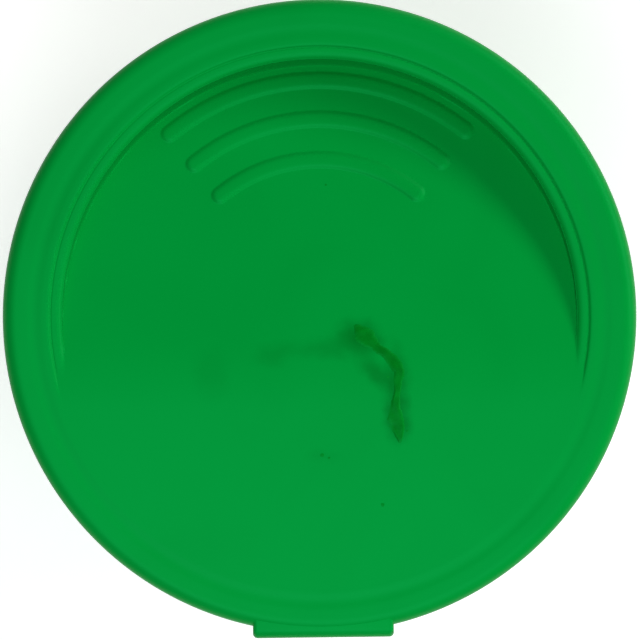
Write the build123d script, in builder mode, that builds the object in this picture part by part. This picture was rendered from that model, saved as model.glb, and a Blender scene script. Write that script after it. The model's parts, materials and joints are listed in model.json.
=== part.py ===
from build123d import *
import os

# A flip-top pot of craft paint, 12 ml class: a natural polypropylene cup, and a green closure of
# a press-on collar and a lid that are moulded in one with a living hinge between them.
# Millimetres. +Z is up and the origin is on the cup's axis, in the plane that the pot stands on.
# The hinge is at -Y. The lid opens at +Y, over the thumb scoop in the collar.

# Closure, lid and hinge
lid_radius = 17.0
lid_top = 35.7
parting_height = 29.85
parting_gap = 0.4
skirt_thickness = 1.25
rim_round = 0.7
recess_radius = 13.85
recess_draft = 0.3
recess_edge_round = 0.35
recess_start = -3.0
recess_end = 14.6
recess_depth = 3.2
recess_bend = 20.0
panel_thickness = 1.3
ledge_drop = 0.12
ledge_inner_radius = 14.42
ledge_outer_radius = 14.52
hinge_width = 7.56
hinge_axis = -17.0
lid_land_face = -17.23
lid_land_drop = 0.25
lid_land_round = 0.5
collar_land_face = -16.6
strap_thickness = 0.24
strap_outer_radius = 0.34
strap_root = -15.9
strap_width = 7.4

# Grip ridges in the recess, concentric with the lid
ridge_radii = (12.70, 10.60, 8.42)
ridge_width = 0.9
ridge_height = 0.15
ridge_root = 0.4
ridge_span = 78.4
ridge_middle = 90.0

# Plug seal under the lid
seal_seat = 31.7
seal_disc_radius = 13.1
seal_disc_thickness = 0.8
seal_wall_radius = 12.8
seal_bead_radius = 12.95
seal_inner_radius = 12.0
seal_bottom = 27.6
pocket_radius = 12.2

# Collar
collar_radius = 16.4
collar_bottom = 22.8
collar_bore = 14.6
collar_skirt_bore = 15.7
scoop_radius = 7.0
scoop_depth = 1.0
scoop_height = 28.9

# Cup
cup_foot_radius = 14.0
cup_shoulder_radius = 14.6
cup_floor = 1.9
cup_floor_radius = 12.9
mouth_radius = 13.25
neck_radius = 14.4
neck_bead_radius = 14.75
neck_bead_height = 27.2
flange_radius = 15.5
flange_height = 24.4
flange_thickness = 0.8
lip_height = 29.6
foot_ring_depth = 0.7

# Contents and dressing
paint_level = 20.5
meniscus_height = 0.3
paint_clearance = 0.03
label_bottom = 4.2
label_top = 19.8
label_thickness = 0.12
label_clearance = 0.03
label_turn = 338.0
streak_thickness = 0.08

os.makedirs("parts", exist_ok=True)


def turned_section(corners):
    """Section to the right of the axis, from rows of radius, height and corner rounding."""
    points = [(radius, height) for radius, height, rounding in corners]
    roundings = [rounding for radius, height, rounding in corners]
    with BuildSketch(Plane.XZ) as section:
        with BuildLine():
            FilletPolyline(points, radius=roundings, close=True)
        make_face()
    return section.sketch


def region_over_floor(drop):
    """Side view of everything above the sloping floor of the recess, lowered by drop."""
    sky = lid_top + lid_radius
    floor_end = lid_top - recess_depth - drop
    with BuildSketch(Plane.YZ) as region:
        with BuildLine():
            FilletPolyline(
                (-lid_radius - 1, lid_top - drop),
                (recess_start, lid_top - drop),
                (recess_end, floor_end),
                (lid_radius + 1, floor_end),
                (lid_radius + 1, sky),
                (-lid_radius - 1, sky),
                radius=(0, recess_bend, 0, 0, 0, 0),
                close=True,
            )
        make_face()
    return region.sketch


def cup_outside(height):
    """Outer radius of the cup's tapered wall at a height."""
    share = height / (flange_height - flange_thickness)
    return cup_foot_radius + share * (cup_shoulder_radius - cup_foot_radius)


def cup_inside(height):
    """Inner radius of the cup's wall at a height."""
    share = (height - cup_floor) / (lip_height - cup_floor)
    return cup_floor_radius + share * (mouth_radius - cup_floor_radius)


# ---- cup: foot ring, tapered wall, flange under the collar, neck with a snap bead
cup_corners = [
    (0, foot_ring_depth, 0),
    (cup_foot_radius - 1.9, foot_ring_depth, 0.2),
    (cup_foot_radius - 1.7, 0, 0.2),
    (cup_foot_radius - 0.4, 0, 0.35),
    (cup_outside(1.2), 1.2, 0.6),
    (cup_shoulder_radius, flange_height - flange_thickness - 0.5, 0.4),
    (flange_radius, flange_height - flange_thickness, 0.2),
    (flange_radius, flange_height, 0.1),
    (neck_radius, flange_height, 0.15),
    (neck_radius, neck_bead_height - 0.6, 0.2),
    (neck_bead_radius, neck_bead_height, 0.2),
    (neck_radius, neck_bead_height + 0.6, 0.2),
    (neck_radius, lip_height, 0.3),
    (mouth_radius, lip_height, 0.3),
    (cup_inside(cup_floor), cup_floor, 2.2),
    (0, cup_floor, 0),
]
with BuildPart() as pot_cup:
    revolve(turned_section(cup_corners), axis=Axis.Z)

# ---- collar: snaps over the neck bead, skirt over the flange, land and pocket for the hinge
collar_top = parting_height - parting_gap / 2
strap_leg = strap_outer_radius
collar_corners = [
    (collar_skirt_bore, collar_bottom, 0.1),
    (collar_radius, collar_bottom, 0.3),
    (collar_radius, collar_top, 0.25),
    (collar_bore, collar_top, 0.12),
    (collar_bore, neck_bead_height + 0.9, 0.1),
    (neck_bead_radius + 0.2, neck_bead_height, 0.2),
    (collar_bore, neck_bead_height - 0.9, 0.1),
    (collar_bore, flange_height, 0.1),
    (collar_skirt_bore, flange_height, 0.1),
]
with BuildPart() as collar:
    revolve(turned_section(collar_corners), axis=Axis.Z)
    with BuildSketch(Plane.YZ) as collar_land:
        with BuildLine():
            Polyline(
                (strap_root, collar_top),
                (collar_land_face, collar_top),
                (collar_land_face, collar_top - 1.3),
                (strap_root, collar_top - 2.4),
                close=True,
            )
        make_face()
    extrude(amount=hinge_width / 2, both=True)
    with BuildSketch(Plane.XY.offset(parting_height - strap_leg)) as lower_pocket:
        with Locations((0, (hinge_axis - 1 + strap_root) / 2)):
            Rectangle(strap_width, strap_root - hinge_axis + 1)
    extrude(amount=strap_leg, mode=Mode.SUBTRACT)
    with Locations((0, collar_radius + scoop_radius - scoop_depth, scoop_height)):
        Sphere(scoop_radius, mode=Mode.SUBTRACT)

# ---- hinge strap: the thin web, folded outwards in a loop between its two lands
fold_radius = strap_outer_radius - strap_thickness / 2
with BuildPart() as hinge_strap:
    with BuildSketch(Plane.YZ) as strap_section:
        with BuildLine() as fold:
            Line((strap_root, parting_height + fold_radius), (hinge_axis, parting_height + fold_radius))
            CenterArc((hinge_axis, parting_height), fold_radius, 90, 180)
            Line((hinge_axis, parting_height - fold_radius), (strap_root, parting_height - fold_radius))
        trace(line_width=strap_thickness)
    extrude(amount=strap_width / 2, both=True)

# ---- recess tool: a drafted round pocket with a low ledge, whose floor dips to the opening side
recess_corners = [
    (0, lid_top - recess_depth, 0),
    (recess_radius - recess_draft, lid_top - recess_depth, 0),
    (recess_radius, lid_top - ledge_drop, recess_edge_round),
    (ledge_inner_radius, lid_top - ledge_drop, 0),
    (ledge_outer_radius, lid_top + ledge_drop, 0),
    (0, lid_top + ledge_drop, 0),
]
with BuildPart() as recess_tool:
    revolve(turned_section(recess_corners), axis=Axis.Z)
    extrude(region_over_floor(0), amount=lid_radius, both=True, mode=Mode.INTERSECT)

# ---- grip ridges: three arcs with round ends, standing an even height off the sloping floor
with BuildPart() as grip_ridges:
    for ridge_radius in ridge_radii:
        with BuildSketch(Plane.XY.offset(lid_top - recess_depth - 1)) as ridge_outline:
            SlotArc(
                CenterArc((0, 0), ridge_radius, ridge_middle - ridge_span / 2, ridge_span),
                ridge_width,
            )
        extrude(amount=recess_depth + 2)
    extrude(region_over_floor(ridge_root), amount=lid_radius, both=True, mode=Mode.INTERSECT)
    extrude(region_over_floor(-ridge_height), amount=lid_radius, both=True, mode=Mode.SUBTRACT)

# ---- pocket tool: the hollow under the sloping panel, which keeps its wall even
with BuildPart() as pocket_tool:
    with BuildSketch(Plane.XY.offset(seal_seat - 1)) as pocket_round:
        Circle(pocket_radius)
    extrude(amount=lid_top - seal_seat + 1)
    extrude(region_over_floor(panel_thickness), amount=lid_radius, both=True, mode=Mode.SUBTRACT)

# ---- lid: rim, skirt, seat for the plug seal, hinge land, recess and grip ridges
lid_bottom = parting_height + parting_gap / 2
seat_radius = seal_disc_radius + 0.1
lid_corners = [
    (0, lid_top, 0),
    (lid_radius, lid_top, rim_round),
    (lid_radius, lid_bottom, 0.2),
    (lid_radius - skirt_thickness, lid_bottom, 0.1),
    (lid_radius - skirt_thickness - 0.1, lid_top - 1.4, 0.2),
    (recess_radius + 1.4, lid_top - 1.4, 0.2),
    (recess_radius + 0.8, seal_seat - seal_disc_thickness - 0.3, 0.15),
    (seat_radius, seal_seat - seal_disc_thickness - 0.3, 0.1),
    (seat_radius, seal_seat, 0),
    (0, seal_seat, 0),
]
with BuildPart() as lid:
    revolve(turned_section(lid_corners), axis=Axis.Z)
    with BuildSketch(Plane.YZ) as lid_land:
        with BuildLine():
            FilletPolyline(
                (strap_root, lid_bottom),
                (lid_land_face, lid_bottom),
                (lid_land_face, lid_top - lid_land_drop),
                (strap_root, lid_top - lid_land_drop),
                radius=(0, 0.1, lid_land_round, 0),
                close=True,
            )
        make_face()
    extrude(amount=hinge_width / 2, both=True)
    with BuildSketch(Plane.XY.offset(parting_height)) as upper_pocket:
        with Locations((0, (hinge_axis - 1 + strap_root) / 2)):
            Rectangle(strap_width, strap_root - hinge_axis + 1)
    extrude(amount=strap_leg, mode=Mode.SUBTRACT)
    add(recess_tool.part, mode=Mode.SUBTRACT)
    add(grip_ridges.part)
    add(pocket_tool.part, mode=Mode.SUBTRACT)

# ---- plug seal: a soft disc seated in the lid, with a beaded skirt that enters the cup's mouth
seal_corners = [
    (0, seal_seat, 0),
    (seal_disc_radius, seal_seat, 0.1),
    (seal_disc_radius, seal_seat - seal_disc_thickness, 0.1),
    (seal_wall_radius, seal_seat - seal_disc_thickness, 0.05),
    (seal_wall_radius, seal_bottom + 1.4, 0.2),
    (seal_bead_radius, seal_bottom + 0.8, 0.3),
    (seal_wall_radius - 0.2, seal_bottom, 0.15),
    (seal_inner_radius + 0.1, seal_bottom, 0.15),
    (seal_inner_radius, seal_seat - seal_disc_thickness, 0.5),
    (0, seal_seat - seal_disc_thickness, 0),
]
with BuildPart() as plug_seal:
    revolve(turned_section(seal_corners), axis=Axis.Z)

# ---- paint: fills the cup to its level, drawn up a little at the wall
paint_corners = [
    (0, cup_floor + paint_clearance, 0),
    (cup_inside(cup_floor) - paint_clearance, cup_floor + paint_clearance, 2.2),
    (cup_inside(paint_level) - paint_clearance, paint_level + meniscus_height, 0),
    (cup_inside(paint_level) - 1.0, paint_level, 0.8),
    (0, paint_level, 0),
]
with BuildPart() as paint_fill:
    revolve(turned_section(paint_corners), axis=Axis.Z)

# ---- wrap label: a thin film round the tapered wall, its ends apart at the back
label_corners = [
    (cup_outside(label_bottom) + label_clearance, label_bottom, 0),
    (cup_outside(label_bottom) + label_clearance + label_thickness, label_bottom, 0),
    (cup_outside(label_top) + label_clearance + label_thickness, label_top, 0),
    (cup_outside(label_top) + label_clearance, label_top, 0),
]
label_gap_start = -90 + (360 - label_turn) / 2
with BuildPart() as wrap_label:
    revolve(
        turned_section(label_corners).rotate(Axis.Z, label_gap_start),
        axis=Axis.Z,
        revolution_arc=label_turn,
    )

# ---- dried streak: a thin run of dried paint on the lid, each row x, y and half width
streak_line = [
    (2.20, -0.70, 0.26),
    (2.52, -1.20, 0.42),
    (3.05, -1.66, 0.20),
    (3.52, -2.05, 0.24),
    (4.00, -2.55, 0.30),
    (4.16, -3.10, 0.24),
    (4.05, -4.00, 0.13),
    (3.96, -4.80, 0.17),
    (4.04, -5.40, 0.34),
    (4.12, -5.90, 0.28),
    (4.20, -6.60, 0.12),
]
with BuildPart() as dried_streak:
    with BuildSketch(Plane.XY.offset(lid_top - 1)) as streak_outline:
        for near, far in zip(streak_line, streak_line[1:]):
            with BuildSketch(mode=Mode.PRIVATE) as link:
                with Locations((near[0], near[1])):
                    Circle(near[2])
                with Locations((far[0], far[1])):
                    Circle(far[2])
                make_hull()
            add(link.sketch)
    extrude(amount=2)
    extrude(region_over_floor(0), amount=lid_radius, both=True, mode=Mode.INTERSECT)
    extrude(region_over_floor(-streak_thickness), amount=lid_radius, both=True, mode=Mode.SUBTRACT)

named_parts = {
    "pot_cup": pot_cup,
    "collar": collar,
    "hinge_strap": hinge_strap,
    "lid": lid,
    "plug_seal": plug_seal,
    "paint_fill": paint_fill,
    "wrap_label": wrap_label,
    "dried_streak": dried_streak,
}
for part_name, builder in named_parts.items():
    builder.part.label = part_name
    export_step(builder.part, f"parts/{part_name}.step")
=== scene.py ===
import json
import math

import bpy
import bmesh
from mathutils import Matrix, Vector, noise


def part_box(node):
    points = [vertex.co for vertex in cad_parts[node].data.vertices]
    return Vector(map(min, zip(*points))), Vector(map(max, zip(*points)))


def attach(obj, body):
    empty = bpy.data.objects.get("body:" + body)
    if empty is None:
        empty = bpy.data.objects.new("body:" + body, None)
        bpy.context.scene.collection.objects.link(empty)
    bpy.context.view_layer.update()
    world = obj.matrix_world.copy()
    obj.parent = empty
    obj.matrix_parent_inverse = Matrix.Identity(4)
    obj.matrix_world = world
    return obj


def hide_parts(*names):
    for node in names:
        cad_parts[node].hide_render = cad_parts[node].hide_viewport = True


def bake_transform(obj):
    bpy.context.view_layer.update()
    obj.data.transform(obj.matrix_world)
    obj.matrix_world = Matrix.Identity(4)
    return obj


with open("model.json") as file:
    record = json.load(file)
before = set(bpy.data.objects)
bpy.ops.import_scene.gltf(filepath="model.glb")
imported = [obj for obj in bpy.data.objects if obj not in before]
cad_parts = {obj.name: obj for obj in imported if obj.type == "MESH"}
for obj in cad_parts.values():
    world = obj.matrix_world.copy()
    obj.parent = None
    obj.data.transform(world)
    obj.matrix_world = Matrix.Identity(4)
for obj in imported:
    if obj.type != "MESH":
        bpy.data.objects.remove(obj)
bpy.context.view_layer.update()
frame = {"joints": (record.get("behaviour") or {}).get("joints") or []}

# A closed flip-top pot of green craft paint on a white table, seen from straight above.
# Metres, in the CAD frame: +Z up, hinge at -Y, opening side at +Y.
mm = 0.001

# ---- sizes read from the frame
lid_low, lid_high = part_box("lid")
cup_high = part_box("pot_cup")[1]
collar_low, collar_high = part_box("collar")
seal_low, seal_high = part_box("plug_seal")
paint_low, paint_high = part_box("paint_fill")
label_low, label_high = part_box("wrap_label")
strap_low, strap_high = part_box("hinge_strap")
streak_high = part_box("dried_streak")[1]
hinge = next(joint for joint in frame["joints"] if joint["name"] == "lid_hinge")
hinge_point = Vector(hinge["pos_m"])

lid_radius = lid_high.x
lid_top = lid_high.z
lid_bottom = lid_low.z
collar_radius = collar_high.x
collar_bottom = collar_low.z
collar_top = collar_high.z
flange_radius = cup_high.x
lip_height = cup_high.z
seal_disc_radius = seal_high.x
seal_seat = seal_high.z
seal_bottom = seal_low.z
plate_face = lid_low.y
land_face = collar_low.y

# ---- sizes of the closure's own details
rim_round = 0.7 * mm
recess_radius = 13.85 * mm
recess_start = -3.0 * mm
recess_end = 14.6 * mm
recess_depth = 3.2 * mm
recess_bend = 20.0 * mm
recess_draft = 0.3 * mm
recess_edge = 0.38 * mm
recess_fillet = 0.9 * mm
ledge_drop = 0.09 * mm
ledge_line = 14.44 * mm
ledge_line_half = 0.07 * mm
ledge_line_depth = 0.02 * mm
ledge_outer = 14.58 * mm
sink_radius = 15.3 * mm
sink_half_width = 0.45 * mm
sink_depth = 0.035 * mm
skirt_thickness = 1.25 * mm
plate_width = 7.56 * mm
plate_drop = 0.09 * mm
plate_corner = 0.24 * mm
ridge_radii = (12.70 * mm, 10.60 * mm, 8.42 * mm)
ridge_half_width = 0.50 * mm
ridge_height = 0.12 * mm
ridge_half_span = math.radians(38.8)
ridge_middle = math.radians(90.0)
collar_bore = 14.6 * mm
collar_skirt_bore = 15.7 * mm
flange_height = 24.4 * mm
flange_thickness = 0.8 * mm
neck_radius = 14.4 * mm
neck_bead_radius = 14.75 * mm
neck_bead_height = 27.2 * mm
mouth_radius = 13.25 * mm
cup_foot_radius = 14.0 * mm
cup_shoulder_radius = 14.6 * mm
cup_floor_radius = 12.9 * mm
cup_floor = 1.9 * mm
foot_recess = 0.7 * mm
scoop_radius = 7.0 * mm
scoop_depth = 1.0 * mm
scoop_height = 28.9 * mm
land_root = strap_low.y + 1.5 * mm

# ---- sizes of the grip ribs, the seal, the paint, the label and the strap
rib_count = 120
rib_radius = 0.22 * mm
rib_sink = 0.02 * mm
rib_low_end = collar_bottom + 0.8 * mm
rib_high_end = collar_top - 2.9 * mm
rib_gap_half_width = 3.3 * mm
seal_wall_radius = 12.8 * mm
seal_bead_radius = 12.95 * mm
seal_inner_radius = 12.0 * mm
seal_disc_thickness = 0.8 * mm
meniscus_height = 0.3 * mm
swirl_size = 4.5 * mm
swirl_height = 0.14 * mm
label_turn = math.radians(338.0)
label_thickness = 0.1 * mm
label_gap = 0.03 * mm
label_lift = 0.10 * mm
strap_thickness = 0.24 * mm
streak_skin = 0.01 * mm

# ---- colours, sRGB
closure_green = "#009536"
closure_green_deep = "#009335"
closure_green_pale = "#009637"
sheen_green = "#48ffb4"
# darker green mixed into the lid's top in soft oval patches
patch_green_dark = "#005a08"
paint_green = "#007a2c"
paint_green_dark = "#00591d"
dried_green = "#007c1a"
dried_green_thick = "#007016"
dried_green_thin = "#008424"
natural_plastic = "#dfe3dc"
natural_plastic_cloud = "#d6dcd2"
# painted see-through light: the paint's green, painted into the cup wall below the paint level
painted_through_green = "#8fc79c"
painted_through_green_deep = "#79bb89"
seal_plastic = "#e6e8e2"
label_cream = "#efece0"
label_ink = "#26302a"
floor_white = "#fbfbfb"


def linear(colour):
    """Linear RGBA of an sRGB hex colour."""
    shares = [int(colour[i:i + 2], 16) / 255 for i in (1, 3, 5)]
    return tuple(c / 12.92 if c <= 0.04045 else ((c + 0.055) / 1.055) ** 2.4 for c in shares) + (1.0,)


def ease(low, high, value):
    """0 below low, 1 above high, smooth in between."""
    share = min(max((value - low) / (high - low), 0.0), 1.0)
    return share * share * (3 - 2 * share)


def between(a, b, share):
    """The value at a share of the way from a to b."""
    return a + (b - a) * share


def add(tree, kind, settings=None, links=None):
    """Adds a node. Settings with a small first letter are its properties, the others its inputs."""
    node = tree.nodes.new(kind)
    for key, value in (settings or {}).items():
        if isinstance(key, str) and key[0].islower():
            setattr(node, key, value)
        else:
            node.inputs[key].default_value = value
    for key, source in (links or {}).items():
        tree.links.new(source, node.inputs[key])
    return node


# ---- mesh making
def rounded(corners, steps=5):
    """Outline through corners of (radius, height, rounding), each rounding a short arc."""
    outline = []
    for i, (x, z, rounding) in enumerate(corners):
        here = Vector((x, z))
        if rounding == 0:
            outline.append(here)
            continue
        back = (Vector(corners[i - 1][:2]) - here).normalized()
        ahead = (Vector(corners[(i + 1) % len(corners)][:2]) - here).normalized()
        half = back.angle(ahead) / 2
        centre = here + (back + ahead).normalized() * rounding / math.sin(half)
        first = here + back * rounding / math.tan(half) - centre
        last = here + ahead * rounding / math.tan(half) - centre
        turn = first.angle_signed(last)
        for step in range(steps + 1):
            angle = -turn * step / steps
            spoke = Vector((
                first.x * math.cos(angle) - first.y * math.sin(angle),
                first.x * math.sin(angle) + first.y * math.cos(angle),
            ))
            outline.append(centre + spoke)
    return outline


def subdivided(outline, longest):
    """The outline with extra points, so that no stretch is longer than longest."""
    points = []
    for a, b in zip(outline, outline[1:]):
        count = max(1, math.ceil((b - a).length / longest))
        points += [a.lerp(b, step / count) for step in range(count)]
    return points + [outline[-1]]


def round_angles(step, fine_spots=(), fine_reach=0.0, fine_step=1.0):
    """Angles once round, in radians, with closer ones near the fine spots. Arguments in degrees."""
    angles = {round(i * step, 4) for i in range(round(360 / step))}
    for spot in fine_spots:
        count = round(fine_reach / fine_step)
        angles |= {round((spot + i * fine_step) % 360, 4) for i in range(-count, count + 1)}
    ordered = sorted(angles)
    kept = [a for a, b in zip(ordered, ordered[1:] + [ordered[0] + 360]) if b - a > fine_step * 0.4]
    return [math.radians(angle) for angle in kept]


def mesh_object(name, vertices, faces):
    mesh = bpy.data.meshes.new(name)
    mesh.from_pydata(vertices, [], faces)
    mesh.validate()
    mesh.update()
    piece = bpy.data.objects.new(name, mesh)
    bpy.context.scene.collection.objects.link(piece)
    return piece


def turned(name, outline, angles, closed_ring, shape=None):
    """Turns an outline about Z. A closed ring joins its last point to its first; any other outline
    starts and ends on the axis. shape may move each point."""
    vertices = []
    faces = []
    rings = []
    count = len(angles)
    for point in outline:
        on_axis = abs(point.x) < 1e-9
        rings.append((len(vertices), on_axis))
        for angle in angles[:1] if on_axis else angles:
            spot = Vector((point.x * math.cos(angle), point.x * math.sin(angle), point.y))
            vertices.append(shape(spot) if shape else spot)
    pairs = list(zip(rings, rings[1:]))
    if closed_ring:
        pairs.append((rings[-1], rings[0]))
    for (a, a_pole), (b, b_pole) in pairs:
        for i in range(count):
            j = (i + 1) % count
            if a_pole:
                faces.append((a, b + j, b + i))
            elif b_pole:
                faces.append((a + i, a + j, b))
            else:
                faces.append((a + i, a + j, b + j, b + i))
    return mesh_object(name, vertices, faces)


def turn_faces_outward(piece):
    shell = bmesh.new()
    shell.from_mesh(piece.data)
    bmesh.ops.recalc_face_normals(shell, faces=shell.faces)
    shell.to_mesh(piece.data)
    shell.free()


def smooth(piece, sharp_degrees=35):
    """Smooth shading, except over edges that turn more than sharp_degrees."""
    piece.data.shade_smooth()
    piece.data.set_sharp_from_angle(angle=math.radians(sharp_degrees))


def block(name, outline, half_width, corner):
    """A bar along X whose section is an outline in (y, z), with its end edges rounded off."""
    steps = 4
    slices = []
    for step in range(steps + 1):
        angle = math.pi / 2 * step / steps
        slices.append((half_width - corner + corner * math.sin(angle), corner * (1 - math.cos(angle))))
    slices = [(-x, inset) for x, inset in reversed(slices)] + slices
    middle = sum(outline, Vector((0, 0))) / len(outline)
    vertices = []
    for x, inset in slices:
        for y, z in outline:
            inner_y = y - math.copysign(inset, y - middle.x)
            inner_z = z - math.copysign(inset, z - middle.y)
            vertices.append((x, inner_y, inner_z))
    count = len(outline)
    faces = [tuple(range(count)), tuple(range(len(vertices) - count, len(vertices)))]
    for row in range(len(slices) - 1):
        for i in range(count):
            j = (i + 1) % count
            faces.append((row * count + i, row * count + j, (row + 1) * count + j, (row + 1) * count + i))
    piece = mesh_object(name, vertices, faces)
    turn_faces_outward(piece)
    return piece


def joined(name, pieces):
    """One object from several, keeping their meshes as separate shells."""
    vertices = []
    faces = []
    for piece in pieces:
        start = len(vertices)
        vertices += [tuple(vertex.co) for vertex in piece.data.vertices]
        faces += [tuple(start + i for i in polygon.vertices) for polygon in piece.data.polygons]
        bpy.data.objects.remove(piece)
    return mesh_object(name, vertices, faces)


# ---- lid: sloping thumb recess with three grip ridges, drafted wall, fine ledge, sunk rim
recess_slope = recess_depth / (recess_end - recess_start)
bend_reach = recess_bend * math.tan(math.atan(recess_slope) / 2)


def recess_floor(y):
    """Height of the recess's floor, which leaves the top face in a soft bend and slopes to the front."""
    reach = y - recess_start
    if reach <= -bend_reach:
        return lid_top
    if reach < bend_reach:
        return lid_top - recess_bend + math.sqrt(recess_bend ** 2 - (reach + bend_reach) ** 2)
    return lid_top - recess_slope * reach


def recess_wall(radius):
    """Height of the steep wall with its rounded edge, the low ledge above it and the fine line
    where the ledge meets the rim."""
    ledge = lid_top - ledge_drop
    foot = recess_radius - recess_draft
    if radius < recess_radius + recess_edge:
        steep = between(lid_top - recess_depth, ledge, (radius - foot) / recess_draft)
        past = max(0.0, recess_radius + recess_edge - radius) / recess_edge
        if radius > recess_radius - 0.05 * mm:
            return ledge - recess_edge * 0.55 * (1 - math.sqrt(max(0.0, 1 - past ** 2)))
        return min(steep, ledge - recess_edge * 0.55)
    line = max(0.0, 1 - (abs(radius - ledge_line) / ledge_line_half) ** 2) * ledge_line_depth
    return between(ledge, lid_top, ease(ledge_line, ledge_outer, radius)) - line


def ridge_relief(x, y):
    """Height of the grip ridges over the floor at a point: flat tops, round flanks and ends."""
    radius = math.hypot(x, y)
    off_middle = abs(math.atan2(y, x) - ridge_middle)
    relief = 0.0
    for ridge in ridge_radii:
        if off_middle <= ridge_half_span:
            gap = abs(radius - ridge)
        else:
            past = off_middle - ridge_half_span
            gap = math.hypot(radius * math.cos(past) - ridge, radius * math.sin(past))
        if gap < ridge_half_width:
            relief += ridge_height * (1 - (gap / ridge_half_width) ** 4) ** 2
    return relief


def lid_face(spot):
    """Shapes the lid's top: recess, ledge, ridges and the shallow sink over the double wall."""
    radius = math.hypot(spot.x, spot.y)
    if spot.z < lid_top - 1e-7:
        return spot
    if radius >= ledge_outer:
        sink = max(0.0, 1 - ((radius - sink_radius) / sink_half_width) ** 2)
        return Vector((spot.x, spot.y, lid_top - sink_depth * sink * sink))
    floor = recess_floor(spot.y)
    wall = recess_wall(radius)
    fillet = min(recess_fillet, (lid_top - floor) * 0.5)
    height = max(floor, wall)
    if fillet > 0 and abs(floor - wall) < fillet and radius < recess_radius:
        height += (fillet - abs(floor - wall)) ** 2 / (4 * fillet)
    share = ease(-0.02 * mm, 0.02 * mm, floor - wall)
    return Vector((spot.x, spot.y, min(height, lid_top) + ridge_relief(spot.x, spot.y) * share))


def lid_radii():
    """Rings of the lid's top face from the middle out, close together where the shape is fine."""
    radii = [0.0] + [r * mm for r in (0.6, 1.2, 1.8, 2.4, 3.0, 3.6, 4.2, 4.8, 5.4, 6.0, 6.6, 7.2, 7.6)]
    across = (0.52, 0.49, 0.46, 0.43, 0.40, 0.37, 0.34, 0.31, 0.27, 0.21, 0.12)
    for ridge in reversed(ridge_radii):
        radii += [ridge - gap * mm for gap in across]
        radii += [ridge]
        radii += [ridge + gap * mm for gap in reversed(across)]
    radii += [r * mm for r in (9.2, 9.5, 9.8, 11.4, 11.7, 12.0)]
    radii += [r * mm for r in (13.35, 13.45, 13.50, 13.55, 13.60, 13.65, 13.70, 13.75, 13.79, 13.81)]
    radii += [r * mm for r in (13.84, 13.88, 13.93, 13.99, 14.06, 14.14, 14.23, 14.34, 14.37, 14.39)]
    radii += [r * mm for r in (14.41, 14.43, 14.45)]
    radii += [r * mm for r in (14.47, 14.49, 14.51, 14.53, 14.60, 14.72, 14.84)]
    radii += [sink_radius + sink_half_width * share for share in (-0.8, -0.55, -0.3, 0, 0.3, 0.55, 0.8, 1)]
    radii += [16.0 * mm, 16.2 * mm]
    return sorted(radii)


def make_lid():
    face = [Vector((radius, lid_top)) for radius in lid_radii()]
    seat_radius = seal_disc_radius + 0.1 * mm
    ring_bottom = seal_seat - 1.1 * mm
    corners = [
        (0, lid_top, 0),
        (lid_radius, lid_top, rim_round),
        (lid_radius, lid_bottom, 0.2 * mm),
        (lid_radius - skirt_thickness, lid_bottom, 0.1 * mm),
        (lid_radius - skirt_thickness - 0.1 * mm, lid_top - 1.4 * mm, 0.2 * mm),
        (recess_radius + 1.4 * mm, lid_top - 1.4 * mm, 0.2 * mm),
        (recess_radius + 0.8 * mm, ring_bottom, 0.15 * mm),
        (seat_radius, ring_bottom, 0.1 * mm),
        (seat_radius, seal_seat, 0),
        (0, seal_seat, 0),
    ]
    below = rounded(corners, 8)[1:]
    ridge_ends = [math.degrees(ridge_middle + side * ridge_half_span) for side in (-1, 1)]
    shell = turned("lid_shell", face + below, round_angles(1.0, ridge_ends, 3.0, 0.2), False, lid_face)
    plate_outline = [
        (land_root, lid_bottom, 0),
        (plate_face, lid_bottom, 0.1 * mm),
        (plate_face, lid_top - plate_drop, 0.5 * mm),
        (land_root, lid_top - plate_drop, 0),
    ]
    plate = block("hinge_plate", rounded(plate_outline, 6), plate_width / 2, plate_corner)
    lid = joined("green_lid", [shell, plate])
    turn_faces_outward(lid)
    smooth(lid, 40)
    return lid


# ---- collar: bored ring over the neck, thumb scoop in front, land for the hinge behind
def scooped(spot):
    """Presses the collar's front in to the surface of a ball, as a scoop for the thumb nail."""
    ball = Vector((0, collar_radius + scoop_radius - scoop_depth, scoop_height))
    if (spot - ball).length >= scoop_radius or spot.to_2d().length < collar_bore + 0.3 * mm:
        return spot
    outward = Vector((spot.x, spot.y, 0)).normalized()
    along = (spot - ball).dot(outward)
    across = (spot - ball).length_squared - along ** 2
    return spot - outward * (along + math.sqrt(scoop_radius ** 2 - across))


def make_collar():
    corners = [
        (collar_skirt_bore, collar_bottom, 0.1 * mm),
        (collar_radius, collar_bottom, 0.3 * mm),
        (collar_radius, collar_top, 0.3 * mm),
        (collar_bore, collar_top, 0.15 * mm),
        (collar_bore, neck_bead_height + 0.9 * mm, 0.1 * mm),
        (neck_bead_radius + 0.2 * mm, neck_bead_height, 0.2 * mm),
        (collar_bore, neck_bead_height - 0.9 * mm, 0.1 * mm),
        (collar_bore, flange_height, 0.1 * mm),
        (collar_skirt_bore, flange_height, 0.1 * mm),
    ]
    outline = rounded(corners)
    outline = subdivided(outline + outline[:1], 0.35 * mm)[:-1]
    angles = round_angles(1.5, [90.0], 16.0, 0.5)
    ring = turned("collar_ring", outline, angles, True, scooped)
    land_outline = [
        (land_root, collar_top, 0),
        (land_face, collar_top, 0.08 * mm),
        (land_face, collar_top - 1.3 * mm, 0.4 * mm),
        (land_root, collar_top - 2.4 * mm, 0),
    ]
    land = block("hinge_land", rounded(land_outline), plate_width / 2, 0.2 * mm)
    collar = joined("green_collar", [ring, land])
    turn_faces_outward(collar)
    smooth(collar, 40)
    return collar


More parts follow.
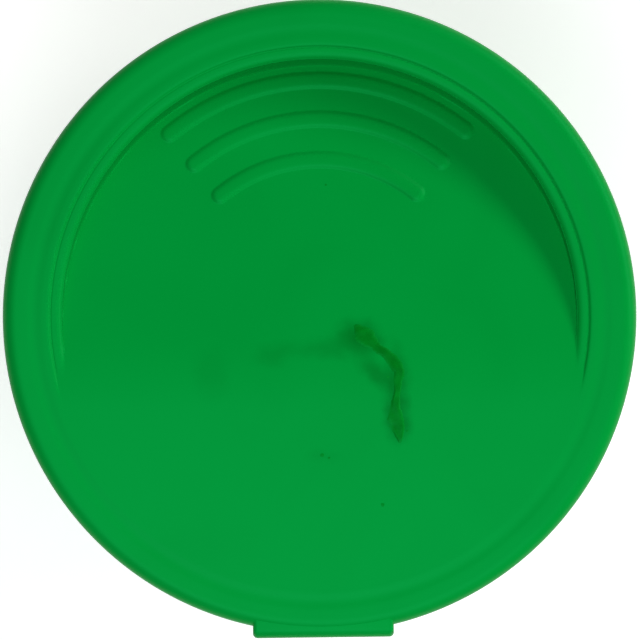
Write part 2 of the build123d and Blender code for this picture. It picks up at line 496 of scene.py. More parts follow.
def rib_tree():
    """Fine upright grip ribs round a ring, with a gap at +Y under the thumb scoop: each a bead swept
    up a short line, with tapered ends."""
    tree = bpy.data.node_groups.new("grip_ribs", "GeometryNodeTree")
    face = tree.interface
    face.new_socket("Geometry", in_out="OUTPUT", socket_type="NodeSocketGeometry")
    for name in ("Ring Radius", "Low End", "High End", "Rib Radius", "Gap Half Width"):
        face.new_socket(name, in_out="INPUT", socket_type="NodeSocketFloat")
    face.new_socket("Rib Count", in_out="INPUT", socket_type="NodeSocketInt")
    face.new_socket("Plastic", in_out="INPUT", socket_type="NodeSocketMaterial")
    given = add(tree, "NodeGroupInput").outputs
    low = add(tree, "ShaderNodeCombineXYZ", {}, {"Z": given["Low End"]})
    high = add(tree, "ShaderNodeCombineXYZ", {}, {"Z": given["High End"]})
    line = add(tree, "GeometryNodeCurvePrimitiveLine", {}, {"Start": low.outputs[0], "End": high.outputs[0]})
    stations = add(tree, "GeometryNodeResampleCurve", {"Count": 17}, {"Curve": line.outputs[0]})
    along = add(tree, "GeometryNodeSplineParameter").outputs["Factor"]
    centred = add(tree, "ShaderNodeMath", {"operation": "MULTIPLY_ADD", 1: 2.0, 2: -1.0}, {0: along})
    steep = add(tree, "ShaderNodeMath", {"operation": "POWER", 1: 8.0}, {0: centred.outputs[0]})
    left = add(tree, "ShaderNodeMath", {"operation": "SUBTRACT", 0: 1.001}, {1: steep.outputs[0]})
    taper = add(tree, "ShaderNodeMath", {"operation": "SQRT"}, {0: left.outputs[0]})
    swell = add(tree, "ShaderNodeMath", {"operation": "MULTIPLY"},
                {0: taper.outputs[0], 1: given["Rib Radius"]})
    section = add(tree, "GeometryNodeCurvePrimitiveCircle", {"Resolution": 10, "Radius": 1.0})
    sized = add(tree, "GeometryNodeSetCurveRadius", {},
                {"Curve": stations.outputs[0], "Radius": swell.outputs[0]})
    bead = add(tree, "GeometryNodeCurveToMesh", {"Fill Caps": True},
               {"Curve": sized.outputs[0], "Profile Curve": section.outputs[0]})
    if "Scale" in bead.inputs:
        tree.links.new(swell.outputs[0], bead.inputs["Scale"])
    ring = add(tree, "GeometryNodeMeshCircle", {},
               {"Vertices": given["Rib Count"], "Radius": given["Ring Radius"]})
    position = add(tree, "GeometryNodeInputPosition").outputs[0]
    spot = add(tree, "ShaderNodeSeparateXYZ", {}, {"Vector": position})
    aside = add(tree, "ShaderNodeMath", {"operation": "ABSOLUTE"}, {0: spot.outputs["X"]})
    clear = add(tree, "ShaderNodeMath", {"operation": "GREATER_THAN"},
                {0: aside.outputs[0], 1: given["Gap Half Width"]})
    behind = add(tree, "ShaderNodeMath", {"operation": "LESS_THAN", 1: 0.0}, {0: spot.outputs["Y"]})
    kept = add(tree, "ShaderNodeMath", {"operation": "MAXIMUM"}, {0: clear.outputs[0], 1: behind.outputs[0]})
    stood = add(tree, "GeometryNodeInstanceOnPoints", {},
                {"Points": ring.outputs[0], "Instance": bead.outputs[0], "Selection": kept.outputs[0]})
    real = add(tree, "GeometryNodeRealizeInstances", {}, {"Geometry": stood.outputs[0]})
    even = add(tree, "GeometryNodeSetShadeSmooth", {}, {"Geometry": real.outputs[0]})
    coated = add(tree, "GeometryNodeSetMaterial", {},
                 {"Geometry": even.outputs[0], "Material": given["Plastic"]})
    add(tree, "NodeGroupOutput", {}, {"Geometry": coated.outputs[0]})
    return tree


def grown(name, tree, inputs):
    """Runs a Geometry Nodes tree with its named inputs and keeps the result as a plain mesh."""
    holder = mesh_object(name + "_maker", [], [])
    maker = holder.modifiers.new("maker", "NODES")
    maker.node_group = tree
    for socket in tree.interface.items_tree:
        if socket.in_out == "INPUT" and socket.name in inputs:
            maker[socket.identifier] = inputs[socket.name]
    depsgraph = bpy.context.evaluated_depsgraph_get()
    mesh = bpy.data.meshes.new_from_object(holder.evaluated_get(depsgraph))
    bpy.data.objects.remove(holder)
    piece = bpy.data.objects.new(name, mesh)
    bpy.context.scene.collection.objects.link(piece)
    return piece


# ---- cup: foot ring, tapered wall, flange, neck with its snap bead, gate mark underneath
def cup_outside(height):
    """Outer radius of the cup's tapered wall at a height."""
    share = height / (flange_height - flange_thickness)
    return between(cup_foot_radius, cup_shoulder_radius, share)


def cup_inside(height):
    """Inner radius of the cup's wall at a height."""
    share = (height - cup_floor) / (lip_height - cup_floor)
    return between(cup_floor_radius, mouth_radius, share)


def make_cup():
    corners = [
        (0, foot_recess - 0.35 * mm, 0),
        (0.7 * mm, foot_recess - 0.35 * mm, 0.15 * mm),
        (0.9 * mm, foot_recess, 0.1 * mm),
        (8.8 * mm, foot_recess, 0.1 * mm),
        (8.9 * mm, foot_recess - 0.12 * mm, 0.05 * mm),
        (9.2 * mm, foot_recess - 0.12 * mm, 0.05 * mm),
        (9.3 * mm, foot_recess, 0.1 * mm),
        (cup_foot_radius - 1.9 * mm, foot_recess, 0.2 * mm),
        (cup_foot_radius - 1.7 * mm, 0, 0.2 * mm),
        (cup_foot_radius - 0.4 * mm, 0, 0.35 * mm),
        (cup_outside(1.2 * mm), 1.2 * mm, 0.6 * mm),
        (cup_shoulder_radius, flange_height - flange_thickness - 0.5 * mm, 0.4 * mm),
        (flange_radius, flange_height - flange_thickness, 0.2 * mm),
        (flange_radius, flange_height, 0.1 * mm),
        (neck_radius, flange_height, 0.15 * mm),
        (neck_radius, neck_bead_height - 0.6 * mm, 0.2 * mm),
        (neck_bead_radius, neck_bead_height, 0.2 * mm),
        (neck_radius, neck_bead_height + 0.6 * mm, 0.2 * mm),
        (neck_radius, lip_height, 0.35 * mm),
        (mouth_radius, lip_height, 0.35 * mm),
        (cup_inside(cup_floor), cup_floor, 2.2 * mm),
        (0, cup_floor, 0),
    ]
    outline = subdivided(rounded(corners), 1.2 * mm)
    cup = turned("natural_cup", outline, round_angles(2.0), False)
    turn_faces_outward(cup)
    smooth(cup, 40)
    return cup


# ---- plug seal: soft disc with a beaded skirt
def make_seal():
    disc = seal_seat - seal_disc_thickness
    corners = [
        (0, seal_seat, 0),
        (seal_disc_radius, seal_seat, 0.1 * mm),
        (seal_disc_radius, disc, 0.1 * mm),
        (seal_wall_radius, disc, 0.05 * mm),
        (seal_wall_radius, seal_bottom + 1.4 * mm, 0.2 * mm),
        (seal_bead_radius, seal_bottom + 0.8 * mm, 0.3 * mm),
        (seal_wall_radius - 0.2 * mm, seal_bottom, 0.15 * mm),
        (seal_inner_radius + 0.1 * mm, seal_bottom, 0.15 * mm),
        (seal_inner_radius, disc, 0.5 * mm),
        (7.2 * mm, disc, 0.1 * mm),
        (7.1 * mm, disc - 0.15 * mm, 0.08 * mm),
        (6.7 * mm, disc - 0.15 * mm, 0.08 * mm),
        (6.6 * mm, disc, 0.1 * mm),
        (1.1 * mm, disc, 0.1 * mm),
        (0.8 * mm, disc + 0.25 * mm, 0.1 * mm),
        (0, disc + 0.25 * mm, 0),
    ]
    seal = turned("seal_disc", subdivided(rounded(corners), 0.8 * mm), round_angles(2.0), False)
    turn_faces_outward(seal)
    smooth(seal, 40)
    return seal


# ---- paint: thick, self-levelled, drawn up at the wall, with slow swirls in its surface
def settled(spot):
    """Gives the paint's surface the low swirls that a thick acrylic keeps after stirring."""
    if spot.z < paint_high.z - 0.45 * mm or spot.to_2d().length > paint_high.x - 0.5 * mm:
        return spot
    turn = math.radians(160) * (1 - spot.to_2d().length / paint_high.x)
    twisted = Vector((
        spot.x * math.cos(turn) - spot.y * math.sin(turn),
        spot.x * math.sin(turn) + spot.y * math.cos(turn),
        0,
    ))
    edge = ease(0, 2 * mm, paint_high.x - spot.to_2d().length)
    lift = noise.noise(twisted / swirl_size) * swirl_height * edge
    return Vector((spot.x, spot.y, spot.z + lift))


def make_paint():
    level = paint_high.z - meniscus_height
    bottom = paint_low.z
    gap = 0.02 * mm
    corners = [
        (0, bottom, 0),
        (cup_inside(cup_floor) - gap, bottom, 2.2 * mm),
        (cup_inside(level) - gap, paint_high.z, 0.04 * mm),
        (cup_inside(level) - 1.0 * mm, level, 0.8 * mm),
        (0, level, 0),
    ]
    outline = subdivided(rounded(corners, 7), 0.45 * mm)
    paint = turned("wet_paint", outline, round_angles(2.0), False, settled)
    turn_faces_outward(paint)
    smooth(paint, 50)
    return paint


# ---- label: one strip of film round the wall, its ends apart at the back and one corner lifting
def make_label():
    first = math.radians(-90.0) + (2 * math.pi - label_turn) / 2
    columns = 220
    rows = 12
    vertices = []
    for column in range(columns + 1):
        angle = first + label_turn * column / columns
        for row in range(rows + 1):
            height = between(label_low.z, label_high.z, row / rows)
            lift = label_lift * ease(columns - 4, columns, column) * ease(rows * 0.4, rows, row)
            radius = cup_outside(height) + label_gap + lift
            vertices.append((radius * math.cos(angle), radius * math.sin(angle), height))
    faces = []
    for column in range(columns):
        for row in range(rows):
            a = column * (rows + 1) + row
            faces.append((a, a + rows + 1, a + rows + 2, a + 1))
    label = mesh_object("film_label", vertices, faces)
    sheet = label.data.uv_layers.new(name="print")
    for loop in label.data.loops:
        column, row = divmod(loop.vertex_index, rows + 1)
        sheet.data[loop.index].uv = (column / columns, row / rows)
    label.data.shade_smooth()
    film = label.modifiers.new("film", "SOLIDIFY")
    film.thickness = label_thickness
    film.offset = 1.0
    return label


# ---- hinge strap: a thin web in a folded loop, thinnest along its fold line
def make_strap():
    """Columns across the width, each the loop's outer face and then its inner face. The web thins
    and draws in towards its two ends, and a slight bulge keeps it from looking machined."""
    half_width = strap_high.x
    root = strap_high.y
    fold = hinge_point.y
    outer = (strap_high.z - strap_low.z) / 2
    middle = outer - strap_thickness / 2
    leg_steps = 5
    arc_steps = 20
    path = []
    for step in range(leg_steps):
        path.append((between(root, fold, step / leg_steps), middle, 0.0))
    for step in range(arc_steps + 1):
        angle = math.pi * step / arc_steps
        path.append((fold - middle * math.sin(angle), middle * math.cos(angle), angle))
    for step in range(1, leg_steps + 1):
        path.append((between(fold, root, step / leg_steps), -middle, math.pi))
    columns = 60
    vertices = []
    for column in range(columns + 1):
        across = between(-1, 1, column / columns)
        x = half_width * (1.2 * across - 0.2 * across ** 5 if abs(across) < 1 else across)
        ends = min(1.0, max(0.0, (abs(x) - half_width + plate_corner) / plate_corner))
        pinch = 1 - 0.85 * ends ** 3
        bulge = 0.03 * mm * math.exp(-((x + 2.1 * mm) / (0.9 * mm)) ** 2)
        bulge -= 0.9 * plate_corner * (1 - math.sqrt(1 - ends ** 2))
        for side in (1, -1):
            for y, z, angle in path:
                bend = math.sin(angle)
                half = strap_thickness / 2 * pinch * (1 - 0.35 * bend ** 6)
                out = Vector((0, -bend, math.cos(angle)))
                place = Vector((x, y - bulge * bend, hinge_point.z + z)) + out * half * side
                vertices.append(place)
    count = len(path)
    faces = []
    for column in range(columns):
        near = column * 2 * count
        far = near + 2 * count
        for i in range(count - 1):
            faces.append((near + i, near + i + 1, far + i + 1, far + i))
            faces.append((near + count + i, far + count + i, far + count + i + 1, near + count + i + 1))
        for i in (0, count - 1):
            faces.append((near + i, far + i, far + count + i, near + count + i))
    for start in (0, columns * 2 * count):
        for i in range(count - 1):
            faces.append((start + i, start + i + 1, start + count + i + 1, start + count + i))
    strap = mesh_object("living_hinge", vertices, faces)
    turn_faces_outward(strap)
    smooth(strap, 60)
    return strap


# ---- dried streak: a crooked run of dried paint that thins out and breaks into flecks. Each row is
# a spot on the run: x, y and half width; each fleck is x, y and radius. Millimetres.
streak_line = (
    (1.85, -0.50, 0.05), (2.10, -0.72, 0.30), (2.45, -1.12, 0.50), (2.95, -1.60, 0.28), (3.50, -2.02, 0.27),
    (3.95, -2.50, 0.33), (4.20, -3.05, 0.30), (4.14, -3.90, 0.19), (4.00, -4.80, 0.24), (4.02, -5.40, 0.40),
    (4.12, -5.95, 0.37), (4.20, -6.45, 0.22), (4.22, -6.85, 0.05),
)
streak_flecks = ((0.05, -7.45, 0.11), (0.42, -7.60, 0.07), (3.26, -10.15, 0.10), (0.42, 7.05, 0.06),
                 (4.62, -6.20, 0.06), (3.70, -5.95, 0.05), (3.62, -3.30, 0.06))


def through(rows, share):
    """The value at a share of the way through rows of numbers, on a smooth curve through them."""
    spot = share * (len(rows) - 1)
    i = min(int(spot), len(rows) - 2)
    t = spot - i
    before, a, b, after = (Vector(rows[min(max(i + k, 0), len(rows) - 1)]) for k in (-1, 0, 1, 2))
    return 0.5 * (2 * a + (b - before) * t + (2 * before - 5 * a + 4 * b - after) * t ** 2
                  + (3 * a - before - 3 * b + after) * t ** 3)


def make_streak():
    stations = 180
    across = 10
    film = streak_high.z - lid_top - streak_skin
    vertices = []
    faces = []
    cover = []
    for station in range(stations + 1):
        share = station / stations
        here = through(streak_line, share) * mm
        ahead = through(streak_line, min(share + 0.004, 1)) * mm
        behind = through(streak_line, max(share - 0.004, 0)) * mm
        along = (ahead - behind).to_2d().normalized()
        side = Vector((-along.y, along.x))
        for i in range(across + 1):
            part = between(-1, 1, i / across)
            ragged = 1 + 0.30 * noise.noise(Vector((share * 19, 3.0 if part > 0 else 9.0, 0)))
            ragged += 0.16 * noise.noise(Vector((share * 70, 5.0 if part > 0 else 1.0, 0)))
            spot = here.to_2d() + side * (part * max(here.z, 0.012 * mm) * ragged)
            rise = film * (1 - part ** 4) * (0.55 + 0.45 * noise.noise(Vector((share * 14, part, 4))))
            rise = max(rise, 0) * ease(0, 0.05, share) * ease(0, 0.05, 1 - share)
            vertices.append((spot.x, spot.y, recess_floor(spot.y) + rise))
            cover.append((1 - part ** 2) * ease(0, 0.08, share) * ease(0, 0.06, 1 - share))
    for station in range(stations):
        for i in range(across):
            a = station * (across + 1) + i
            faces.append((a, a + across + 1, a + across + 2, a + 1))
    for x, y, radius in streak_flecks:
        faces += fleck(vertices, x * mm, y * mm, radius * mm, film * 0.15)
    cover += [0.1] * (len(vertices) - len(cover))
    streak = mesh_object("dried_run", vertices, faces)
    turn_faces_outward(streak)
    streak.data.attributes.new("film", "FLOAT", "POINT").data.foreach_set("value", cover)
    streak.data.shade_smooth()
    return streak


def fleck(vertices, x, y, radius, rise):
    """Adds one low round drop to the vertices and returns its faces."""
    spokes = 12
    rings = 3
    centre = len(vertices)
    vertices.append((x, y, recess_floor(y) + rise))
    for ring in range(1, rings + 1):
        out = ring / rings
        for spoke in range(spokes):
            angle = 2 * math.pi * spoke / spokes
            wobble = 1 + 0.25 * noise.noise(Vector((x / mm + math.cos(angle), y / mm + math.sin(angle), 0)))
            px = x + radius * out * wobble * math.cos(angle)
            py = y + radius * out * wobble * math.sin(angle)
            vertices.append((px, py, recess_floor(py) + rise * (1 - out ** 2)))
    faces = [(centre, centre + 1 + i, centre + 1 + (i + 1) % spokes) for i in range(spokes)]
    for ring in range(rings - 1):
        for i in range(spokes):
            a = centre + 1 + ring * spokes
            j = (i + 1) % spokes
            faces.append((a + i, a + spokes + i, a + spokes + j, a + j))
    return faces


# ---- soft darker patches in the lid's top, each: strength, centre, half sizes, turn; millimetres and degrees
patch_sway = 0.9 * mm
lid_dark_patches = (
    (0.60, (2.20, -1.15), (1.70, 1.30), -30.0),
    (0.24, (0.90, -1.65), (3.60, 1.05), 4.0),
    (0.18, (-2.45, -2.00), (1.60, 0.95), 8.0),
    (0.45, (3.00, -3.05), (1.70, 0.95), -38.0),
    (0.55, (4.05, -4.10), (0.95, 3.60), 0.0),
    (0.45, (4.10, -5.70), (1.10, 1.50), 0.0),
    (0.10, (-5.85, -3.00), (1.50, 2.00), 0.0),
    (0.10, (0.10, -7.50), (1.20, 0.60), -10.0),
)


# ---- materials
def new_material(name):
    """An empty material with its output, and the shader that feeds it."""
    material = bpy.data.materials.new(name)
    material.use_nodes = True
    tree = material.node_tree
    tree.nodes.clear()
    shader = add(tree, "ShaderNodeBsdfPrincipled")
    add(tree, "ShaderNodeOutputMaterial", {}, {"Surface": shader.outputs["BSDF"]})
    return material, tree, shader


def dark_patch(tree, place, strength, centre, halves, turn):
    """Mask of a soft darker oval patch in the lid's top: strength in its middle, fading to nothing."""
    ground = (centre[0] * mm, centre[1] * mm, recess_floor(centre[1] * mm))
    moved = add(tree, "ShaderNodeVectorMath", {"operation": "SUBTRACT", 1: ground}, {0: place})
    oval = {"vector_type": "TEXTURE", "Rotation": (0, 0, math.radians(turn)),
            "Scale": (halves[0] * mm, halves[1] * mm, 1.0 * mm)}
    turned_back = add(tree, "ShaderNodeMapping", oval, {"Vector": moved.outputs[0]})
    reach = add(tree, "ShaderNodeVectorMath", {"operation": "LENGTH"}, {0: turned_back.outputs[0]})
    fade = {"interpolation_type": "SMOOTHSTEP", "From Min": 1.0, "From Max": 0.1,
            "To Min": 0.0, "To Max": strength}
    return add(tree, "ShaderNodeMapRange", fade, {"Value": reach.outputs["Value"]})


def moulded_polypropylene(name, patches=()):
    """Injection-moulded green polypropylene: an even, deep, saturated green with a soft waxy sheen,
    faint flow clouds from the melt and a fine grain from the spark-eroded mould. Any patches given
    are soft darker ovals mixed into the colour."""
    material, tree, shader = new_material(name)
    place = add(tree, "ShaderNodeTexCoord").outputs["Object"]
    clouds = add(tree, "ShaderNodeTexNoise", {"Scale": 0.11 / mm, "Detail": 2.0, "Distortion": 0.8},
                 {"Vector": place})
    ramp = add(tree, "ShaderNodeValToRGB", {}, {"Fac": clouds.outputs["Fac"]})
    ramp.color_ramp.elements[0].position = 0.3
    ramp.color_ramp.elements[0].color = linear(closure_green_deep)
    ramp.color_ramp.elements[1].position = 0.7
    ramp.color_ramp.elements[1].color = linear(closure_green_pale)
    middle = ramp.color_ramp.elements.new(0.5)
    middle.color = linear(closure_green)
    grain = add(tree, "ShaderNodeTexNoise", {"Scale": 1 / (0.16 * mm), "Detail": 2.0}, {"Vector": place})
    bump = add(tree, "ShaderNodeBump", {"Strength": 0.25, "Distance": 0.004 * mm},
               {"Height": grain.outputs["Fac"]})
    gloss = add(tree, "ShaderNodeMapRange", {"To Min": 0.36, "To Max": 0.46},
                {"Value": clouds.outputs["Fac"]})
    colour = ramp.outputs["Color"]
    if patches:
        stirred = add(tree, "ShaderNodeTexNoise", {"Scale": 0.9 / mm, "Detail": 3.0}, {"Vector": place})
        wavering = add(tree, "ShaderNodeVectorMath", {"operation": "SUBTRACT", 1: (0.5, 0.5, 0.5)},
                       {0: stirred.outputs["Color"]})
        swayed = add(tree, "ShaderNodeVectorMath", {"operation": "MULTIPLY_ADD", 1: (patch_sway,) * 3},
                     {0: wavering.outputs[0], 2: place})
        for strength, centre, halves, turn in patches:
            mask = dark_patch(tree, swayed.outputs[0], strength, centre, halves, turn)
            # each patch mixes a darker green into the colour in a soft oval
            mix = add(tree, "ShaderNodeMix", {"data_type": "RGBA", 7: linear(patch_green_dark)},
                      {0: mask.outputs["Result"], 6: colour})
            colour = mix.outputs[2]
    tree.links.new(colour, shader.inputs["Base Color"])
    tree.links.new(gloss.outputs["Result"], shader.inputs["Roughness"])
    tree.links.new(bump.outputs["Normal"], shader.inputs["Normal"])
    shader.inputs["Specular IOR Level"].default_value = 0.14
    shader.inputs["Specular Tint"].default_value = linear(sheen_green)
    return material


def natural_polypropylene():
    """Unpigmented polypropylene, moulded: milky, half see-through, waxy, with faint flow clouds. Up to the
    paint's level the paint's green is painted into the wall's colour as painted see-through light; above
    that it is clear milk."""
    material, tree, shader = new_material("moulded_natural_polypropylene")
    place = add(tree, "ShaderNodeTexCoord").outputs["Object"]
    clouds = add(tree, "ShaderNodeTexNoise", {"Scale": 0.2 / mm, "Detail": 3.0, "Distortion": 1.0},
                 {"Vector": place})
    plain = add(tree, "ShaderNodeMix", {"data_type": "RGBA", 6: linear(natural_plastic_cloud),
                                        7: linear(natural_plastic)}, {0: clouds.outputs["Fac"]})
    # painted see-through light: below the paint level the wall's colour turns to the paint's green
    painted_through = add(tree, "ShaderNodeMix", {"data_type": "RGBA", 6: linear(painted_through_green_deep),
                                         7: linear(painted_through_green)}, {0: clouds.outputs["Fac"]})
    height = add(tree, "ShaderNodeSeparateXYZ", {}, {"Vector": place}).outputs["Z"]
    waterline = {"interpolation_type": "SMOOTHSTEP", "From Min": paint_high.z + 0.6 * mm,
                 "From Max": paint_high.z - 0.4 * mm}
    filled = add(tree, "ShaderNodeMapRange", waterline, {"Value": height})
    colour = add(tree, "ShaderNodeMix", {"data_type": "RGBA"},
                 {0: filled.outputs["Result"], 6: plain.outputs[2], 7: painted_through.outputs[2]})
    grain = add(tree, "ShaderNodeTexNoise", {"Scale": 1 / (0.2 * mm), "Detail": 2.0}, {"Vector": place})
    bump = add(tree, "ShaderNodeBump", {"Strength": 0.3, "Distance": 0.006 * mm},
               {"Height": grain.outputs["Fac"]})
    gloss = add(tree, "ShaderNodeMapRange", {"To Min": 0.34, "To Max": 0.46},
                {"Value": clouds.outputs["Fac"]})
    tree.links.new(colour.outputs[2], shader.inputs["Base Color"])
    tree.links.new(gloss.outputs["Result"], shader.inputs["Roughness"])
    tree.links.new(bump.outputs["Normal"], shader.inputs["Normal"])
    shader.inputs["IOR"].default_value = 1.49
    shader.inputs["Transmission Weight"].default_value = 0.22
    shader.inputs["Subsurface Weight"].default_value = 0.35
    shader.inputs["Subsurface Scale"].default_value = 1.2 * mm
    return material


def soft_polyethylene():
    """Low-density polyethylene, moulded: softer and whiter than the cup, matt and slightly greasy,
    with smears of paint."""
    material, tree, shader = new_material("moulded_soft_polyethylene")
    place = add(tree, "ShaderNodeTexCoord").outputs["Object"]
    smear = add(tree, "ShaderNodeTexNoise", {"Scale": 0.35 / mm, "Detail": 5.0, "Roughness": 0.6},
                {"Vector": place})
    ramp = add(tree, "ShaderNodeValToRGB", {}, {"Fac": smear.outputs["Fac"]})
    ramp.color_ramp.elements[0].position = 0.56
    ramp.color_ramp.elements[0].color = linear(seal_plastic)
    ramp.color_ramp.elements[1].position = 0.66
    ramp.color_ramp.elements[1].color = linear(paint_green)
    grain = add(tree, "ShaderNodeTexNoise", {"Scale": 1 / (0.25 * mm), "Detail": 2.0}, {"Vector": place})
    bump = add(tree, "ShaderNodeBump", {"Strength": 0.3, "Distance": 0.008 * mm},
               {"Height": grain.outputs["Fac"]})
    tree.links.new(ramp.outputs["Color"], shader.inputs["Base Color"])
    tree.links.new(bump.outputs["Normal"], shader.inputs["Normal"])
    shader.inputs["Roughness"].default_value = 0.48
    return material


def wet_acrylic():
    """Wet acrylic craft paint, stirred and left to level: a deep green, glossy skin with slow
    darker swirls of pigment."""
    material, tree, shader = new_material("wet_acrylic_paint")
    place = add(tree, "ShaderNodeTexCoord").outputs["Object"]
    swirl = add(tree, "ShaderNodeTexNoise", {"Scale": 0.22 / mm, "Detail": 4.0, "Distortion": 2.2},
                {"Vector": place})
    ramp = add(tree, "ShaderNodeValToRGB", {}, {"Fac": swirl.outputs["Fac"]})
    ramp.color_ramp.elements[0].position = 0.4
    ramp.color_ramp.elements[0].color = linear(paint_green_dark)
    ramp.color_ramp.elements[1].position = 0.6
    ramp.color_ramp.elements[1].color = linear(paint_green)
    tree.links.new(ramp.outputs["Color"], shader.inputs["Base Color"])
    shader.inputs["Roughness"].default_value = 0.12
    shader.inputs["Coat Weight"].default_value = 0.4
    shader.inputs["Coat Roughness"].default_value = 0.06
    return material


def dried_acrylic():
    """Acrylic paint dried in a thin run: darker than the plastic, satin, wrinkled; where the film
    runs out at its edge, the lid's own colour comes through."""
    material, tree, shader = new_material("dried_acrylic_paint")
    place = add(tree, "ShaderNodeTexCoord").outputs["Object"]
    skin = add(tree, "ShaderNodeTexNoise", {"Scale": 1.6 / mm, "Detail": 4.0}, {"Vector": place})
    ramp = add(tree, "ShaderNodeValToRGB", {}, {"Fac": skin.outputs["Fac"]})
    ramp.color_ramp.elements[0].position = 0.35
    ramp.color_ramp.elements[0].color = linear(dried_green_thick)
    ramp.color_ramp.elements[1].position = 0.7
    ramp.color_ramp.elements[1].color = linear(dried_green)
    film = add(tree, "ShaderNodeAttribute", {"attribute_type": "GEOMETRY", "attribute_name": "film"})
    thickening = {"interpolation_type": "SMOOTHSTEP", "From Min": 0.0, "From Max": 0.9,
                  "To Min": 0.10, "To Max": 1.0}
    cover = add(tree, "ShaderNodeMapRange", thickening, {"Value": film.outputs["Fac"]})
    mix = add(tree, "ShaderNodeMix", {"data_type": "RGBA", 6: linear(dried_green_thin)},
              {0: cover.outputs["Result"], 7: ramp.outputs["Color"]})
    bump = add(tree, "ShaderNodeBump", {"Strength": 0.4, "Distance": 0.015 * mm},
               {"Height": skin.outputs["Fac"]})
    tree.links.new(mix.outputs[2], shader.inputs["Base Color"])
    tree.links.new(bump.outputs["Normal"], shader.inputs["Normal"])
    shader.inputs["Roughness"].default_value = 0.42
    shader.inputs["Specular IOR Level"].default_value = 0.14
    shader.inputs["Specular Tint"].default_value = linear(sheen_green)
    return material


def printed_film():
    """White polypropylene film, printed and gloss-coated: cream ground, a band of the paint's own
    green, two ink rules and a fading field of dots; no lettering."""
    material, tree, shader = new_material("printed_film")
    sheet = add(tree, "ShaderNodeUVMap", {"uv_map": "print"}).outputs["UV"]
    parts = add(tree, "ShaderNodeSeparateXYZ", {}, {"Vector": sheet})
    height = parts.outputs["Y"]

    def band(low, high):
        above = add(tree, "ShaderNodeMath", {"operation": "GREATER_THAN", 1: low}, {0: height})
        below = add(tree, "ShaderNodeMath", {"operation": "LESS_THAN", 1: high}, {0: height})
        return add(tree, "ShaderNodeMath", {"operation": "MULTIPLY"},
                   {0: above.outputs[0], 1: below.outputs[0]}).outputs[0]

    dot_count = 88
    dot_rows = 15
    stretched = add(tree, "ShaderNodeVectorMath", {"operation": "MULTIPLY", 1: (dot_count, dot_rows, 1)},
                    {0: sheet})
    cell = add(tree, "ShaderNodeVectorMath", {"operation": "FRACTION"}, {0: stretched.outputs[0]})
    centred = add(tree, "ShaderNodeVectorMath", {"operation": "SUBTRACT", 1: (0.5, 0.5, 0)},
                  {0: cell.outputs[0]})
    reach = add(tree, "ShaderNodeVectorMath", {"operation": "LENGTH"}, {0: centred.outputs[0]})
    fading = {"From Min": 0.30, "From Max": 0.72, "To Min": 0.62, "To Max": 0.0}
    size = add(tree, "ShaderNodeMapRange", fading, {"Value": height})
    dots = add(tree, "ShaderNodeMath", {"operation": "LESS_THAN"},
               {0: reach.outputs["Value"], 1: size.outputs["Result"]})
    dotted = {"data_type": "RGBA", 6: linear(label_cream), 7: linear(closure_green)}
    colour = add(tree, "ShaderNodeMix", dotted, {0: dots.outputs[0]}).outputs[2]
    bands = ((-0.1, 0.30, closure_green), (0.05, 0.075, label_cream), (0.86, 0.885, label_ink),
             (0.90, 0.91, label_ink))
    for low, high, ink in bands:
        printed = add(tree, "ShaderNodeMix", {"data_type": "RGBA", 7: linear(ink)},
                      {0: band(low, high), 6: colour})
        colour = printed.outputs[2]
    tree.links.new(colour, shader.inputs["Base Color"])
    place = add(tree, "ShaderNodeTexCoord").outputs["Object"]
    scuffs = add(tree, "ShaderNodeTexNoise", {"Scale": 0.8 / mm, "Detail": 5.0}, {"Vector": place})
    gloss = add(tree, "ShaderNodeMapRange", {"To Min": 0.22, "To Max": 0.42},
                {"Value": scuffs.outputs["Fac"]})
    tree.links.new(gloss.outputs["Result"], shader.inputs["Roughness"])
    return material


def lit_table():
    """Matt white acrylic sheet, lit softly from below as a product table: an even, bright ground."""
    material, tree, shader = new_material("matt_white_acrylic_sheet")
    place = add(tree, "ShaderNodeTexCoord").outputs["Object"]
    grain = add(tree, "ShaderNodeTexNoise", {"Scale": 1 / (0.6 * mm), "Detail": 3.0}, {"Vector": place})
    bump = add(tree, "ShaderNodeBump", {"Strength": 0.08, "Distance": 0.01 * mm},
               {"Height": grain.outputs["Fac"]})
    tree.links.new(bump.outputs["Normal"], shader.inputs["Normal"])
    shader.inputs["Base Color"].default_value = linear(floor_white)
    shader.inputs["Emission Color"].default_value = linear(floor_white)
    shader.inputs["Emission Strength"].default_value = 0.46
    shader.inputs["Roughness"].default_value = 0.9
    shader.inputs["Specular IOR Level"].default_value = 0.1
    return material


# ---- room: table, lamps, camera
def make_floor():
    reach = 1.5
    corners = [(-reach, -reach, 0), (reach, -reach, 0), (reach, reach, 0), (-reach, reach, 0)]
    floor = mesh_object("table", corners, [(0, 1, 2, 3)])
    floor.data.materials.append(lit_table())


def make_lamp(name, bearing, height, stand_off, width, tall, power, colour):
    """An oval softbox aimed at the lid's top. Bearing is in degrees from +Y towards +X, height in
    degrees above the table; lengths are metres and power is watts."""
    lamp = bpy.data.lights.new(name, "AREA")
    lamp.shape = "ELLIPSE"
    lamp.size = width
    lamp.size_y = tall
    lamp.energy = power
    lamp.color = colour
    holder = bpy.data.objects.new(name, lamp)
    bpy.context.scene.collection.objects.link(holder)
    rise = math.radians(height)
    turn = math.radians(bearing)
    level = math.cos(rise)
    place = Vector((level * math.sin(turn), level * math.cos(turn), math.sin(rise))) * stand_off
    holder.location = place + Vector((0, 0, lid_top))
    holder.rotation_euler = (-place).to_track_quat("-Z", "Y").to_euler()
    holder.visible_camera = False


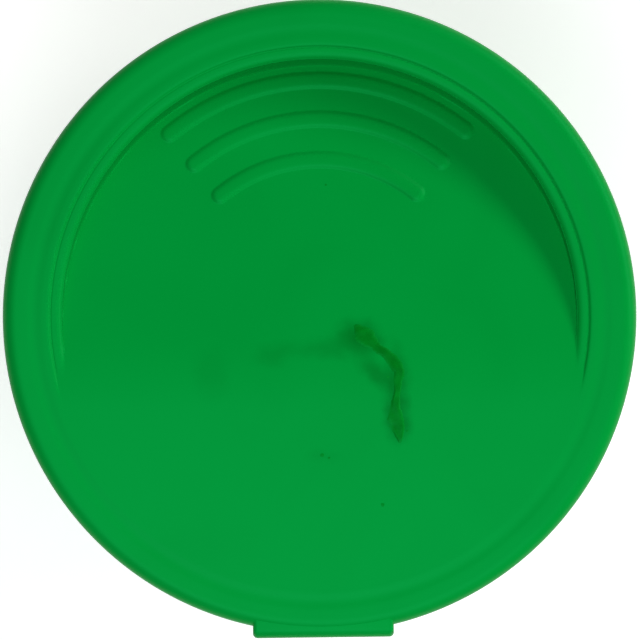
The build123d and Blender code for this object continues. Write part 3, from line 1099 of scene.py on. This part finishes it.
def make_camera():
    """Straight above the lid, far enough off to look flat, and rolled by a hair."""
    sensor = 36.0
    distance = 0.9
    margin = 1.0098
    roll = math.radians(-0.7)
    data = bpy.data.cameras.new("camera")
    data.sensor_width = sensor
    data.lens = sensor * distance / (2 * lid_radius * margin)
    data.clip_start = 0.05
    data.clip_end = 10.0
    camera = bpy.data.objects.new("camera", data)
    camera.location = (0.02 * mm, -0.20 * mm, lid_top - rim_round + distance)
    camera.rotation_euler = (0, 0, roll)
    bpy.context.scene.collection.objects.link(camera)
    bpy.context.scene.camera = camera


def finish_piece(piece, material, node, body):
    """Coats a piece and puts it in place of its CAD node, on that node's body."""
    piece.data.materials.append(material)
    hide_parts(node)
    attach(piece, body)


make_camera()
make_floor()
make_lamp("key_front_right", 62, 27, 0.6, 0.75, 0.16, 2.65, (1.0, 1.0, 0.98))
make_lamp("fill_hinge_side", 174, 62, 0.15, 0.11, 0.11, 0.124, (0.90, 0.98, 1.0))
make_lamp("fill_overhead", 215, 72, 0.6, 0.30, 0.30, 0.75, (1.0, 0.99, 0.95))
world = bpy.data.worlds.new("room")
bpy.context.scene.world = world
world.use_nodes = True
sky = world.node_tree.nodes["Background"].inputs
sky["Color"].default_value = (1, 1, 1, 1)
sky["Strength"].default_value = 0.06
bpy.context.scene.view_settings.view_transform = "Standard"

green = moulded_polypropylene("moulded_green_polypropylene")
patched_green = moulded_polypropylene("moulded_green_polypropylene_with_dark_patches", lid_dark_patches)
finish_piece(make_lid(), patched_green, "lid", "flip_lid")
finish_piece(make_collar(), green, "collar", "pot")
ribs = grown("collar_grip_ribs", rib_tree(), {
    "Ring Radius": collar_radius - rib_sink, "Low End": rib_low_end, "High End": rib_high_end,
    "Rib Radius": rib_radius, "Rib Count": rib_count, "Gap Half Width": rib_gap_half_width,
    "Plastic": green,
})
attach(ribs, "pot")
finish_piece(make_cup(), natural_polypropylene(), "pot_cup", "pot")
finish_piece(make_seal(), soft_polyethylene(), "plug_seal", "flip_lid")
finish_piece(make_paint(), wet_acrylic(), "paint_fill", "pot")
finish_piece(make_label(), printed_film(), "wrap_label", "pot")
finish_piece(make_streak(), dried_acrylic(), "dried_streak", "flip_lid")
strap = make_strap()
strap.data.materials.append(green)
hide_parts("hinge_strap")
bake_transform(strap)
